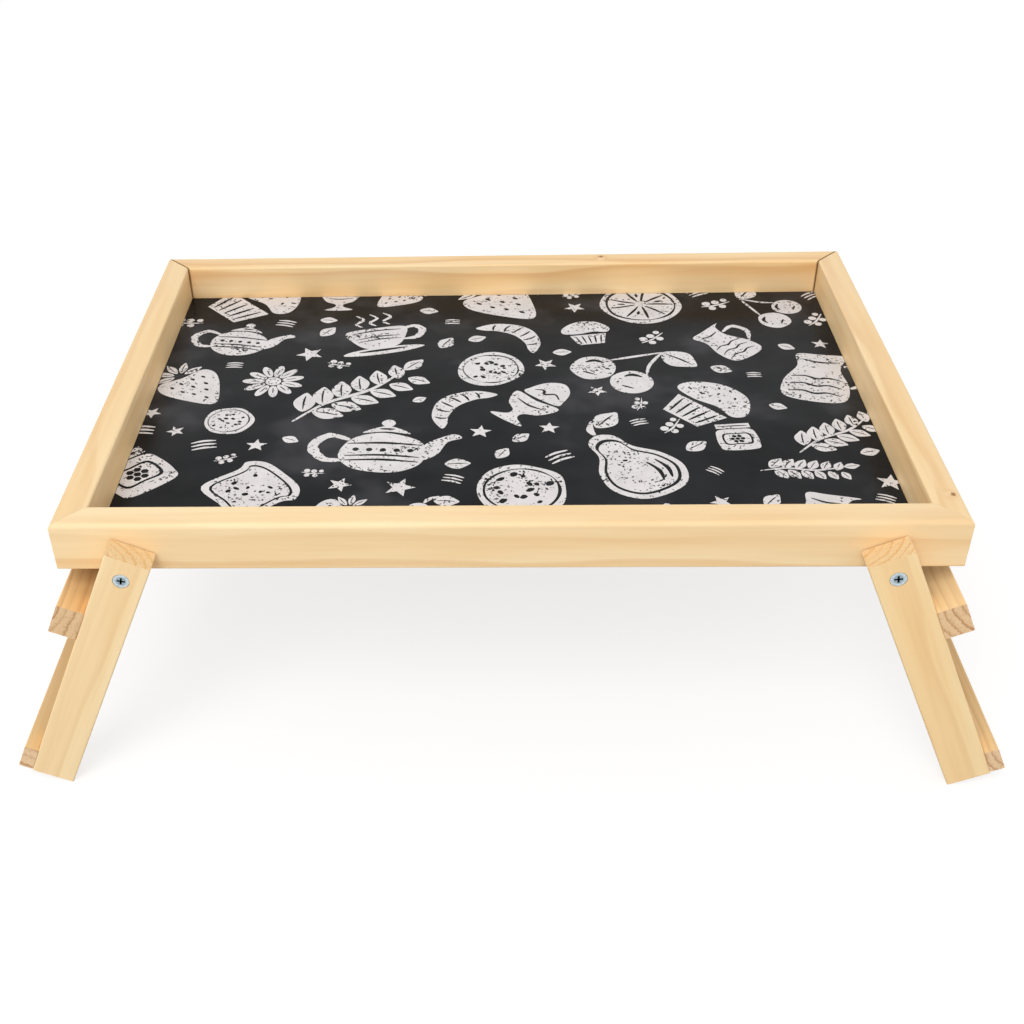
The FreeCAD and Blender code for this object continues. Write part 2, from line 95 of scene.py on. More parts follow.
def pine(name, middle, turn, pith, ring, tones, figure, seed, sawn="#EDCC9A", closer=1.0,
         knots=(), mitre=None):
    """Planed pine as a solid pattern, so faces, ends and rounded edges agree.

    middle, in metres, and turn, in degrees, place the strip's own frame, whose X is the grain; pith
    is how far off the heart of the tree lay (Y and Z, mm), ring the width of a year's growth (mm),
    tones are early wood, warm wood and late wood, figure is how strongly the rings show along the
    faces, sawn is the tone of the ends, cut across, and closer is how much closer the rings stand there.
    knots are places on the surface with their radius, in metres, and mitre is the outer corner of an
    open mitre, whose lips are brown with old glue.
    """
    material, tree, surface = new_material(name)
    turned = Euler([math.radians(angle) for angle in turn])
    place = add_node(tree, "TexCoord", {})
    strip = add_node(tree, "Mapping", {
        "Vector": place.outputs["Object"], "Location": middle, "Rotation": turned,
        "Scale": (0.001, 0.001, 0.001)}, vector_type="TEXTURE").outputs["Vector"]
    strip = add_node(tree, "VectorMath", {0: strip, 1: (seed * NEXT_BOARD, 0, 0)}, operation="ADD").outputs[0]

    def grain(along, across, detail, output="Fac"):
        """Noise drawn out along the grain: the length and width of its marks, in mm."""
        drawn = add_node(tree, "VectorMath", {0: strip, 1: (1 / along, 1 / across, 1 / across)},
                         operation="MULTIPLY").outputs[0]
        return add_node(tree, "TexNoise", {"Vector": drawn, "Scale": 1, "Detail": detail,
                                           "Roughness": 0.5}).outputs[output]

    # The stem's slow wandering bends the rings by a few millimetres.
    bend = add_node(tree, "VectorMath", {0: grain(130, 34, 1, "Color"), 1: (0.5, 0.5, 0.5)},
                    operation="SUBTRACT").outputs[0]
    bent = add_node(tree, "VectorMath", {0: bend, 1: (0, 15, 15), 2: strip},
                    operation="MULTIPLY_ADD").outputs[0]
    off = add_node(tree, "VectorMath", {0: bent, 1: (0, pith[0], pith[1])}, operation="SUBTRACT").outputs[0]
    off = add_node(tree, "VectorMath", {0: off, 1: (0, 1, 1)}, operation="MULTIPLY").outputs[0]
    radius = add_node(tree, "VectorMath", {0: off}, operation="LENGTH").outputs["Value"]

    # Cut across, the rings show far more strongly than along the faces, and the saw tears short marks.
    axis = turned.to_matrix() @ Vector((1, 0, 0))
    across = add_node(tree, "VectorMath", {0: place.outputs["Normal"], 1: axis},
                      operation="DOT_PRODUCT").outputs["Value"]
    across = add_node(tree, "Math", {0: across}, operation="ABSOLUTE").outputs[0]
    end_cut = add_node(tree, "MapRange", {"Value": across, "From Min": 0.75, "From Max": 0.95}).outputs[0]
    jag = add_node(tree, "Math", {0: grain(60, 1.8, 2), 1: end_cut}, operation="MULTIPLY").outputs[0]
    radius = add_node(tree, "Math", {0: jag, 1: 2.4, 2: radius}, operation="MULTIPLY_ADD").outputs[0]

    # A knot is a dark brown spot with a ragged rim, and the rings swell out round it.
    dark_knots = []
    for spot, size in knots:
        reach = add_node(tree, "VectorMath", {0: place.outputs["Object"], 1: spot},
                         operation="DISTANCE").outputs["Value"]
        swell = add_node(tree, "MapRange", {"Value": reach, "From Min": 0, "From Max": size * 3.5,
                                            "To Min": ring * 0.4, "To Max": 0},
                         interpolation_type="SMOOTHERSTEP").outputs[0]
        radius = add_node(tree, "Math", {0: radius, 1: swell}).outputs[0]
        rough = add_node(tree, "Math", {0: grain(3, 1.2, 2), 1: size * 1.4, 2: reach},
                         operation="MULTIPLY_ADD").outputs[0]
        dark_knots.append(add_node(tree, "MapRange", {"Value": rough, "From Min": size * 0.9,
                                                      "From Max": size * 1.7, "To Min": 1, "To Max": 0},
                                   interpolation_type="SMOOTHSTEP").outputs[0])

    # Each year runs from pale early wood to dark late wood and ends sharply; some years are fainter.
    spacing = add_node(tree, "MapRange", {"Value": end_cut, "To Min": ring,
                                          "To Max": ring / closer}).outputs[0]
    years = add_node(tree, "Math", {0: radius, 1: spacing}, operation="DIVIDE").outputs[0]
    year = add_node(tree, "Math", {0: years}, operation="FLOOR").outputs[0]
    growth = add_node(tree, "Math", {0: years}, operation="FRACT").outputs[0]
    late = shade(tree, ((0, 0.0), (0.3, 0.04), (0.62, 0.4), (0.84, 1.0), (0.93, 0.75), (1.0, 0.02)), growth)
    vigour = add_node(tree, "TexWhiteNoise", {"W": year}, noise_dimensions="1D").outputs["Value"]
    vigour = add_node(tree, "MapRange", {"Value": vigour, "To Min": 0.4, "To Max": 1.0}).outputs[0]

    strength = add_node(tree, "MapRange", {"Value": end_cut, "To Min": figure, "To Max": 0.95}).outputs[0]
    narrow = add_node(tree, "MapRange", {"Value": end_cut, "To Min": 1.0, "To Max": 1.8}).outputs[0]
    late = add_node(tree, "Math", {0: late, 1: narrow}, operation="POWER").outputs[0]
    late = add_node(tree, "Math", {0: late, 1: vigour}, operation="MULTIPLY").outputs[0]
    late = add_node(tree, "Math", {0: late, 1: strength}, operation="MULTIPLY").outputs[0]

    # The ground is pale and warm wood in long clouds, the rings lie over it, and the fibres streak it.
    early_wood, warm_wood, late_wood = tones
    cloud = shade(tree, ((0.35, early_wood), (0.68, warm_wood)), grain(200, 16, 2))
    cloud = add_node(tree, "Mix", {0: end_cut, 6: cloud, 7: linear(sawn)}, data_type="RGBA").outputs[2]
    colour = add_node(tree, "Mix", {0: late, 6: cloud, 7: linear(late_wood)}, data_type="RGBA").outputs[2]
    torn = shade(tree, ((0.58, 0.0), (0.68, 0.45)), grain(40, 1.1, 2))
    torn = add_node(tree, "Math", {0: torn, 1: end_cut}, operation="MULTIPLY").outputs[0]
    colour = add_node(tree, "Mix", {0: torn, 6: colour, 7: linear("#BE8C54")}, data_type="RGBA").outputs[2]
    streaks = shade(tree, ((0.25, "#FBF8F3"), (0.6, "#FFFFFF")), grain(80, 3, 2))
    colour = add_node(tree, "Mix", {0: 1.0, 6: colour, 7: streaks}, data_type="RGBA",
                      blend_type="MULTIPLY").outputs[2]
    for dark in dark_knots:
        colour = add_node(tree, "Mix", {0: dark, 6: colour, 7: linear("#9C6436")},
                          data_type="RGBA").outputs[2]
    if mitre:
        # Measured along the rail, the wood is brown to 0.5 mm from the mitre and clean again by 1.1 mm.
        sides = add_node(tree, "SeparateXYZ", {0: place.outputs["Object"]}).outputs
        outward = add_node(tree, "Math", {0: sides["X"]}, operation="ABSOLUTE").outputs[0]
        off = add_node(tree, "Math", {0: sides["Y"], 1: outward}, operation="SUBTRACT").outputs[0]
        off = add_node(tree, "Math", {0: off, 1: mitre.y - mitre.x}, operation="SUBTRACT").outputs[0]
        off = add_node(tree, "Math", {0: off}, operation="ABSOLUTE").outputs[0]
        glue = add_node(tree, "MapRange", {"Value": off, "From Min": 0.0005, "From Max": 0.0011,
                                           "To Min": 0.8, "To Max": 0}).outputs[0]
        colour = add_node(tree, "Mix", {0: glue, 6: colour, 7: linear("#7E5A2C")},
                          data_type="RGBA").outputs[2]
    tree.links.new(colour, surface.inputs["Base Color"])

    # Fibres catch the light in fine lines, drawn 0.8 mm wide, which is coarser than real, so that they show.
    fibres = grain(30, 0.8, 3)
    rough = add_node(tree, "MapRange", {"Value": fibres, "To Min": 0.44, "To Max": 0.6}).outputs[0]
    tree.links.new(rough, surface.inputs["Roughness"])
    raised = add_node(tree, "Bump", {"Strength": 0.25, "Distance": 0.0001, "Height": fibres}).outputs[0]
    tree.links.new(raised, surface.inputs["Normal"])
    surface.inputs["Specular IOR Level"].default_value = 0.5
    return material


def middle_of(name):
    """The middle of a node's box."""
    low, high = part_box(name)
    return (low + high) / 2


BACK_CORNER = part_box("rail_back")[1]
RAILS = {
    "rail_front": dict(turn=(0, 0.6, 0.3), pith=(14, -62), ring=14.5, figure=0.5, seed=1,
                       tones=("#F7DDAF", "#F3D2A0", "#DDA868")),
    "rail_back": dict(turn=(0, -1.4, 0.9), pith=(38, -30), ring=10.5, figure=0.6, seed=2,
                      tones=("#F9DCAC", "#F4CC92", "#D99D5D"),
                      knots=[((0.0744, 0.1632, 0.1853), 0.0026)], mitre=BACK_CORNER),
    "rail_left": dict(turn=(0.8, 0, 90.5), pith=(26, -48), ring=11.5, figure=0.4, seed=3,
                      tones=("#F5D9A9", "#F1CE98", "#DDAB6E"), mitre=BACK_CORNER),
    "rail_right": dict(turn=(-1.2, 0, 91.2), pith=(-22, -36), ring=10, figure=0.46, seed=4,
                       tones=("#F7DBAC", "#F3CF98", "#DCA365"),
                       knots=[((0.2448, -0.1447, 0.1851), 0.0024)], mitre=BACK_CORNER),
}
for name, wood in RAILS.items():
    use(name, pine("planed_pine_" + name, middle_of(name), **wood))


# --- The four legs ----------------------------------------------------------------------------------
# Square-edged pine, sawn off straight at both ends and barely eased along the edges. Each hangs on one
# screw, driven through it into the front or back rail. The sawn ends show tan end grain with brown rings.

LEAN = 24
RESINOUS = ("#FBE0AE", "#F7D093", "#DDA35E")
LEGS = {
    "leg_front_left": dict(pith=(-17, 24), ring=10.5, figure=0.3, seed=5, closer=2.4,
                           tones=("#FCE3B4", "#F8D8A5", "#E0AE6C")),
    "leg_front_right": dict(pith=(19, 21), ring=9.5, figure=0.34, seed=6, closer=2.1,
                            tones=("#FCE1AE", "#F8D49C", "#E0A967")),
    "leg_back_left": dict(pith=(25, -14), ring=8.5, figure=0.34, seed=7, tones=RESINOUS, closer=2.0),
    "leg_back_right": dict(pith=(-21, -18), ring=9.0, figure=0.34, seed=8, tones=RESINOUS, closer=2.0),
}
for name, wood in LEGS.items():
    # The grain runs about a degree off the leg's own line.
    outward = 1 if name.endswith("right") else -1
    turn = (0, -(90 + LEAN * outward) + 0.8, 0.7 * outward)
    use(name, pine("sawn_pine_" + name, middle_of(name), turn, **wood))


# --- The bars across each pair of legs --------------------------------------------------------------
# The thicker stop bar meets the side rail only when the legs are swung right out, and the thin foot
# bar keeps the feet apart. Both are glued and bradded; they were cut from warmer, more resinous wood.

BARS = {
    "stop_bar_left": dict(turn=(0.9, 0, 90.8), pith=(25, 17), ring=5.5, figure=0.36, seed=9,
                          tones=("#F8D096", "#F0BC7C", "#A56B38"), sawn="#E2BF92"),
    # The right stop bar's tones are lighter than the left's as painted light, for faces that lie in the
    # tray's shade.
    "stop_bar_right": dict(turn=(-0.7, 0, 89.2), pith=(-27, 20), ring=4.5, figure=0.26, seed=10,
                           tones=("#FFE2AE", "#FCD69E", "#B57D4A"), sawn="#E9C599"),
    "foot_bar_left": dict(turn=(0.5, 0, 90.4), pith=(14, -19), ring=5.5, figure=0.4, seed=11,
                          tones=("#F8D8A2", "#F0C88E", "#B37A48"), sawn="#EAC9A0"),
    "foot_bar_right": dict(turn=(-0.5, 0, 90.3), pith=(-15, 17), ring=4.0, figure=0.4, seed=12,
                           tones=("#F8D8A2", "#F0C88E", "#B37A48"), sawn="#EAC9A0"),
}
for name, wood in BARS.items():
    use(name, pine("resinous_pine_" + name, middle_of(name), **wood))


# --- The panel --------------------------------------------------------------------------------------
# Pressed hardboard, 3 mm, let into the rabbet from below. Its bare underside is brown, matt and flecked
# with short fibres, with the faint net that the pressing screen leaves.

# Flecks are a millimetre wide, coarser than the real fibres, so that they show; the net's meshes are 2 mm.
board_brown, tree, surface = new_material("hardboard_pressed_brown")
place = add_node(tree, "TexCoord", {}).outputs["Object"]
flecks = add_node(tree, "TexNoise", {"Vector": place, "Scale": 900, "Detail": 4,
                                     "Roughness": 0.65}).outputs["Fac"]
blotch = add_node(tree, "TexNoise", {"Vector": place, "Scale": 28, "Detail": 2}).outputs["Fac"]
both = add_node(tree, "Math", {0: blotch, 1: 0.35, 2: flecks}, operation="MULTIPLY_ADD").outputs[0]
tree.links.new(shade(tree, ((0.35, "#55381F"), (0.65, "#7A5533"), (0.95, "#9A7048")), both),
               surface.inputs["Base Color"])
screen = add_node(tree, "TexVoronoi", {"Vector": place, "Scale": 520, "Randomness": 0.12}).outputs["Distance"]
tree.links.new(add_node(tree, "Bump", {"Strength": 0.4, "Distance": 0.0002, "Height": screen}).outputs[0],
               surface.inputs["Normal"])
surface.inputs["Roughness"].default_value = 0.78
surface.inputs["Specular IOR Level"].default_value = 0.25
use("tray_board", board_brown)


# --- The printed laminate ---------------------------------------------------------------------------
# A glossy charcoal laminate stuck to the panel, with pale chalk-like drawings printed under its gloss.
# It isn't quite flat, so the room's light lies on it in soft patches.

def gloss(tree, surface, place):
    """The laminate's clear face: smooth, with shallow ripples from the glue below, 45 mm long, and
    faint dimples, 6 mm apart.
    """
    ripple = add_node(tree, "TexNoise", {"Vector": place, "Scale": 22, "Detail": 1.5}).outputs["Fac"]
    dimple = add_node(tree, "TexNoise", {"Vector": place, "Scale": 160, "Detail": 1}).outputs["Fac"]
    height = add_node(tree, "Math", {0: dimple, 1: 0.04, 2: ripple}, operation="MULTIPLY_ADD").outputs[0]
    tree.links.new(add_node(tree, "Bump", {"Strength": 0.5, "Distance": 0.003, "Height": height}).outputs[0],
                   surface.inputs["Normal"])
    surface.inputs["Roughness"].default_value = 0.24
    surface.inputs["Specular IOR Level"].default_value = 0.07


charcoal_film, tree, surface = new_material("laminate_charcoal_gloss")
place = add_node(tree, "TexCoord", {}).outputs["Object"]
# The charcoal runs lighter and darker in soft patches, about 60 mm across.
soft_patches = add_node(tree, "TexNoise", {"Vector": place, "Scale": 16, "Detail": 3,
                                     "Roughness": 0.55}).outputs["Fac"]
tree.links.new(shade(tree, ((0.34, "#151618"), (0.55, "#202123"), (0.7, "#3B3B3E")), soft_patches),
               surface.inputs["Base Color"])
gloss(tree, surface, place)
use("printed_film", charcoal_film)


# --- The printed drawings ---------------------------------------------------------------------------
# Generic breakfast things in pale ink: cups, pots, fruit, leaves, flowers and bakes, strewn over the
# panel at many angles and cut off at its edges. Each is a solid pale shape with dark line work left
# out of it. The ink is chalky, with small worn specks where the charcoal shows through.

# How thick the ink lies, how far its overlapping parts lie apart and how far inside the laminate's
# edges it stops, in metres; and at how many levels those parts lie.
INK_THICK, INK_STEP, INK_MARGIN = 0.00004, 0.000006, 0.0001
INK_LEVELS = 6

# One seeded source gives every unsteady line and every place, so the print always comes out the same.
draw = random.Random(41)


def smooth(points, closed=True, steps=5):
    """A smooth line through given points."""
    count = len(points)
    line = []
    for at in range(count if closed else count - 1):
        if closed:
            p = [points[(at + step) % count] for step in (-1, 0, 1, 2)]
        else:
            p = [points[min(max(at + step, 0), count - 1)] for step in (-1, 0, 1, 2)]
        for step in range(steps):
            t = step / steps
            line.append(tuple(0.5 * (2 * b + (c - a) * t + (2 * a - 5 * b + 4 * c - d) * t * t
                                     + (3 * b - a - 3 * c + d) * t ** 3) for a, b, c, d in zip(*p)))
    return line if closed else line + [points[-1]]


def stroke(points, width=1.0, steps=5):
    """A brush line along the points, full in the middle and thin at its ends."""
    line = smooth(points, closed=False, steps=steps)
    sides = ([], [])
    for at, (x, y) in enumerate(line):
        ahead, behind = line[min(at + 1, len(line) - 1)], line[max(at - 1, 0)]
        dx, dy = ahead[0] - behind[0], ahead[1] - behind[1]
        length = math.hypot(dx, dy) or 1
        share = at / (len(line) - 1)
        half = width / 2 * (0.45 + 0.75 * math.sin(math.pi * share)) * draw.uniform(0.85, 1.15)
        sides[0].append((x - dy / length * half, y + dx / length * half))
        sides[1].append((x + dy / length * half, y - dx / length * half))
    return sides[0] + sides[1][::-1]


def oval(x, y, wide, high, turn=0, shake=0.035, count=11):
    """A slightly unsteady oval, as drawn by hand; count is how many points carry its line."""
    cosine, sine = math.cos(turn), math.sin(turn)
    loop = []
    for at in range(count):
        angle = 2 * math.pi * at / count
        swell = 1 + draw.uniform(-shake, shake)
        across, up = wide * swell * math.cos(angle), high * swell * math.sin(angle)
        loop.append((x + across * cosine - up * sine, y + across * sine + up * cosine))
    return smooth(loop, steps=5 if wide > 4 else 2)


def polar(radius, angle, x=0, y=0):
    """The point at a radius and an angle from (x, y)."""
    return (x + radius * math.cos(angle), y + radius * math.sin(angle))


def leaf(x, y, length, turn, plump=0.3):
    """A pointed leaf with its midrib left dark."""
    shape = [(0, 0), (0.25, plump * 0.8), (0.55, plump), (0.85, plump * 0.45), (1, 0),
             (0.85, -plump * 0.45), (0.55, -plump), (0.25, -plump * 0.8)]
    spin = Matrix.Rotation(turn, 2)

    def laid(points):
        """Points of a leaf one long, brought to this leaf's length, turn and foot."""
        return [tuple(spin @ Vector((a * length, b * length)) + Vector((x, y))) for a, b in points]

    rib = laid(((0.12, 0), (0.5, 0.02), (0.82, 0)))
    return [laid(smooth(shape, steps=3)), stroke(rib, length * 0.05, 3)]


# A drawing is a list of groups, and a group is a list of loops in millimetres. The first loop is the
# group's outline, and the loops inside it are dark and pale by turns.

def cup():
    bowl = smooth([(-15, 9), (0, 10.5), (15, 9), (13.5, -1), (7, -10), (-7, -10), (-13.5, -1)])
    brim = stroke([(-12.5, 6.5), (0, 7.8), (12.5, 6.5)], 1.1)
    bands = [stroke([(-11, 0.5 - dy), (0, 1.6 - dy), (11, 0.5 - dy)], 0.9) for dy in (0, 3)]
    handle = stroke([(14, 7), (20, 8), (23, 3), (19, -3.5), (11.8, -4)], 3.2, 8)
    saucer = [oval(0, -13.5, 20, 3.4), oval(0, -12.8, 12, 1.1, shake=0.05)]
    steam = [stroke([(x, 13), (x - 2.5, 17), (x + 2, 21), (x - 1, 26)], 1.5) for x in (-6, 1, 8)]
    return [[bowl, brim] + bands, [handle], saucer] + [[puff] for puff in steam]


def teapot():
    body = oval(0, -2, 16, 13)
    bands = [stroke([(-13.5, y), (0, y + 1), (13.5, y)], 1.1) for y in (-7.5, -4.5, 3.5)]
    dots = [oval(x, -0.2, 1.2, 1.2, count=7) for x in (-10, -5, 0, 5, 10)]
    lid = [smooth([(-9, 11), (0, 16), (9, 11), (0, 12.2)]), oval(0, 14, 3, 0.6, count=10)]
    spout = [smooth([(14.5, -6), (20, -2), (23, 6), (28, 9), (25, 11.5), (19, 8), (14.5, 3)])]
    handle = [stroke([(-13, 6), (-21, 8.5), (-26, 1), (-21, -7), (-14, -7.5)], 3.2, 8)]
    return [[body] + bands + dots, lid, [oval(0, 18, 2.6, 2.4, count=14)], spout, handle]


def citrus():
    loops = [oval(0, 0, 21, 21), oval(0, 0, 18.6, 18.6), oval(0, 0, 17.4, 17.4)]
    for at in range(9):
        angle = 2 * math.pi * at / 9 + draw.uniform(-0.06, 0.06)
        loops.append(stroke([polar(3, angle), polar(9, angle + 0.03), polar(16.2, angle)], 1.3, 3))
        if at % 2:
            loops.append(stroke([polar(8, angle + 0.35), polar(12, angle + 0.33)], 1.4, 4))
    return [loops]


def sprig():
    groups = [[stroke([(-26, -3), (-10, 1), (8, 0), (25, 5)], 1.4)]]
    for at in range(6):
        x = -20 + 8 * at
        groups.append(leaf(x, 0.8, 13 - at * 0.6, 0.95 + 0.05 * at))
        groups.append(leaf(x + 3, -0.8, 12 - at * 0.6, -0.9 - 0.03 * at))
    groups.append(leaf(25, 5, 10, 0.25))
    return groups


def cherries():
    groups = []
    for x, y, size in ((-9, -9, 9), (9, -6, 8.5)):
        shine = stroke([(x - size * 0.6, y + 1), (x - size * 0.45, y + size * 0.5),
                        (x, y + size * 0.68)], 1.5)
        fruit = oval(x, y, size, size)
        shadow = stroke([(x - 1, y - size * 0.55), (x + size * 0.45, y - size * 0.35)], 0.9)
        groups.append([fruit, shine, shadow])
        groups.append([stroke([(x, y + size), (x * 0.5, 9), (1, 20)], 1.3)])
    groups.append(leaf(1, 20, 17, 0.1, 0.36))
    return groups


def biscuit():
    loops = [oval(0, 0, 16, 16, shake=0.05), oval(0, 0, 13.6, 13.6), oval(0, 0, 12.9, 12.9)]
    for at in range(14):
        spot = polar(draw.uniform(2, 11), at * 2.4)
        loops.append(oval(*spot, draw.uniform(0.8, 1.7), draw.uniform(0.8, 1.5), count=9, shake=0.15))
    return [loops]


def scaled(loop, by, y=0):
    """A loop drawn in towards the point (0, y)."""
    return [(a * by, y + (b - y) * by) for a, b in loop]


def pear():
    outline = smooth([(0, 21), (5, 18), (6.5, 10), (12, 2), (13.5, -8), (7, -16.5), (-7, -16.5),
                      (-13.5, -8), (-12, 2), (-6.5, 10), (-5, 18)])
    shading = [stroke([(x - 2, -11), (x, -6), (x - 0.6, 0)], 1.1, 3) for x in (5.2, 8.4)]
    return [[outline, scaled(outline, 0.86, -2), scaled(outline, 0.79, -2)] + shading,
            [stroke([(0, 21.5), (0.6, 25), (4, 29)], 1.9)], leaf(3, 25, 12, 0.35, 0.34)]


def croissant():
    outline = smooth([(-25, -9), (-20, 3), (-9, 11), (0, 13), (9, 11), (20, 3), (25, -9), (19, -8),
                      (12, -3), (0, 0), (-12, -3), (-19, -8)])
    folds = [stroke([(a, b), ((a + c) / 2 + bow, (b + d) / 2), (c, d)], 1.3)
             for a, b, c, d, bow in ((-18, 2.5, -14.5, -4, -1), (-10.5, 8.5, -8, -0.8, -1),
                                     (-3, 11, -3, 1.3, 0), (4, 11, 4, 1.3, 0.5),
                                     (11, 8.3, 8.6, -1, 1), (18, 2.5, 14.5, -4, 1))]
    return [[outline] + folds]


def muffin():
    top = smooth([(-17, 0), (-18, 6), (-12, 13), (-3, 17), (8, 16), (15, 10), (18, 3), (14, -1.5),
                  (5, 0.5), (-6, -1.5)])
    crumbs = [oval(x, y, 1.1, 0.55, draw.uniform(0, 3), 0.12, 6)
              for x, y in ((-13, 4), (-9.5, 9), (-4.5, 13), (-6.5, 4.5), (-1.5, 9), (0.5, 14.5),
                           (2.5, 5), (6, 11), (9.5, 6), (12.5, 9.5))]
    case = [(-13.5, -3.5), (13.5, -3.5), (9.5, -18), (-9.5, -18)]
    pleats = [stroke([(x, -5), (x * 0.74, -16.6)], 1.1, 4) for x in (-9.6, -4.8, 0, 4.8, 9.6)]
    return [[top] + crumbs, [case] + pleats]


def jug():
    body = smooth([(-9, 17), (-8, 8), (-12, -4), (-11, -15), (0, -17.5), (11, -15), (12, -4), (8, 8),
                   (10, 17), (14, 20), (0, 18.5)])
    waves = [stroke([(-9.5, y), (-4.5, y + 1.3), (0, y), (4.5, y + 1.3), (9.5, y)], 1)
             for y in (-11.5, -6, -0.5)]
    handle = stroke([(9, 11), (18, 12), (20, 3), (12.5, -5)], 2.6, 8)
    return [[body, stroke([(-6.5, 13.5), (0, 12.3), (6.5, 13.5)], 1)] + waves, [handle]]


def egg():
    shell = [smooth([(0, 21), (6.5, 17), (9.5, 9), (8.5, 4.5), (-8.5, 4.5), (-9.5, 9), (-6.5, 17)]),
             stroke([(-7, 9), (-3.5, 11), (-1, 8.5), (2.5, 11.5), (6.8, 9.2)], 1.1)]
    stand = [smooth([(-12, 3), (0, 2), (12, 3), (9, -6), (3, -10), (3, -14), (9, -18), (0, -19),
                     (-9, -18), (-3, -14), (-3, -10), (-9, -6)]),
             stroke([(-8, -1.5), (0, -3), (8, -1.5)], 1)]
    return [shell, stand]


def daisy():
    groups = []
    for at in range(11):
        angle = 2 * math.pi * at / 11
        x, y = polar(13, angle)
        groups.append([oval(x, y, 7.2, 3, angle), stroke([polar(8.5, angle), polar(15, angle)], 0.7, 4)])
    groups.append([oval(0, 0, 5.2, 5.2)] + [oval(*polar(3, at * 1.05), 0.6, 0.6, count=7) for at in range(6)])
    return groups


def strawberry():
    fruit = smooth([(0, -21), (9, -10), (14, 2), (11, 9), (0, 8), (-11, 9), (-14, 2), (-9, -10)])
    seeds = [oval(x, y, 0.75, 1.35, 0.2, 0.1, 6)
             for x, y in ((-8, 3), (-3, 3.5), (3, 4), (8, 3), (-6, -3), (0, -2), (6, -3), (-3, -8),
                          (3.4, -8), (0, -14))]
    crown = [leaf(*polar(2.6, math.radians(angle), 0, 10.5), 9.5, math.radians(angle), 0.2)
             for angle in (5, 48, 90, 132, 175)]
    return [[fruit] + seeds] + crown


def wheat():
    groups = [[stroke([(-28, 0), (-8, 1), (22, 0)], 1.2)]]
    for at in range(6):
        for side in (-1, 1):
            x = 1 + at * 3.8
            groups.append([oval(x + 2, side * 3.4, 3.4, 1.5, side * 0.5)])
            groups.append([stroke([(x + 5, side * 5), (x + 13, side * 9)], 0.6, 3)])
    groups.append([oval(26, 0, 3.4, 1.5)])
    return groups


def bread():
    crust = smooth([(-15, -15), (0, -16), (15, -15), (15.5, 3), (18, 9), (12, 15), (0, 16), (-12, 15),
                    (-18, 9), (-15.5, 3)])
    within = [(-12.6, -12.6), (0, -13.4), (12.6, -12.6), (12.8, 4), (14.6, 9), (10, 12.3), (0, 13.2),
              (-10, 12.3), (-14.6, 9), (-12.8, 4)]
    holes = [oval(draw.uniform(-9, 9), draw.uniform(-9, 8), draw.uniform(0.7, 1.6), draw.uniform(0.6, 1.2),
                  draw.uniform(0, 3), 0.15, 9) for _ in range(9)]
    return [[crust, smooth(within), smooth(scaled(within, 0.93))] + holes]


def honey_jar():
    body = smooth([(-11, 8), (0, 9), (11, 8), (13.5, 1), (13.5, -10), (10, -16), (-10, -16),
                   (-13.5, -10), (-13.5, 1)])
    label = [smooth([(-9, 3), (0, 3.8), (9, 3), (9, -9), (0, -9.6), (-9, -9)]),
             smooth([(-7.8, 1.9), (0, 2.6), (7.8, 1.9), (7.8, -7.8), (0, -8.4), (-7.8, -7.8)])]
    middles = [(0, -2.9)] + [polar(3.5, math.radians(60 * at), 0, -2.9) for at in range(6)]
    cells = [[polar(1.75, math.radians(60 * at + 30), x, y) for at in range(6)] for x, y in middles]
    lid = [[(-11.5, 10), (11.5, 10), (11.5, 15.5), (-11.5, 15.5)],
           stroke([(-10.5, 12.6), (0, 12.9), (10.5, 12.6)], 1)]
    return [[body] + label + cells, lid]


def star():
    return [[[polar(7 if at % 2 else 3, math.radians(36 * at + 18)) for at in range(10)]]]


def dashes():
    return [[stroke([(-6, y), (0, y + 0.8), (6, y)], 1.3, 3)] for y in (-3, 0, 3)]


def berries():
    twig = stroke([(-8, -3), (-1, -1.2), (7.5, 4)], 1.0, 4)
    return [[twig]] + [[oval(x, y, size, size, count=14)] for x, y, size in (
        (-5.4, 0.6, 2.3), (-2.2, -4.4, 2.0), (-0.4, 2.6, 2.2), (3.4, -1.8, 2.0), (4.2, 5.4, 1.8))]


def loose_leaf():
    return [leaf(-6, 0, 12, 0.2, 0.34)]


MAIN = (cup, citrus, sprig, cherries, teapot, biscuit, pear, croissant, muffin, jug, egg, daisy,
        strawberry, wheat, bread, honey_jar)
FILLERS = (star, dashes, berries, loose_leaf)

film_low, film_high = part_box("printed_film")


def print_ink(groups, x, y, turn, size, level):
    """Lay one drawing's pale areas on the laminate as a thin solid; shapes inside shapes stay open.

    Parts that overlap lie a few thousandths of a millimetre apart, so that none shares a face.
    """
    meshes = []
    for at, loops in enumerate(groups):
        place = (Matrix.Translation((x, y, level + at % INK_LEVELS * INK_STEP))
                 @ Matrix.Rotation(turn, 4, "Z") @ Matrix.Scale(size / 1000, 4))
        flat = bpy.data.curves.new("ink", "CURVE")
        flat.dimensions = "2D"
        flat.fill_mode = "BOTH"
        for loop in loops:
            line = flat.splines.new("POLY")
            line.points.add(len(loop) - 1)
            line.points.foreach_set("co", [value for point in loop for value in (point[0], point[1], 0, 1)])
            line.use_cyclic_u = True
        # The curve is extruded both ways, in the drawing's own millimetres.
        flat.extrude = INK_THICK * 500 / size
        holder = bpy.data.objects.new("ink", flat)
        mesh = bpy.data.meshes.new_from_object(holder)
        mesh.transform(place)
        meshes.append(mesh)
        bpy.data.objects.remove(holder)
        bpy.data.curves.remove(flat)
    return meshes


# The panel is shared out in square cells of this many millimetres. A drawing has this many tries to
# find free ones, and lies turned by up to this many radians either way.
CELL, TRIES, TILT = 3.8, 70, 0.9


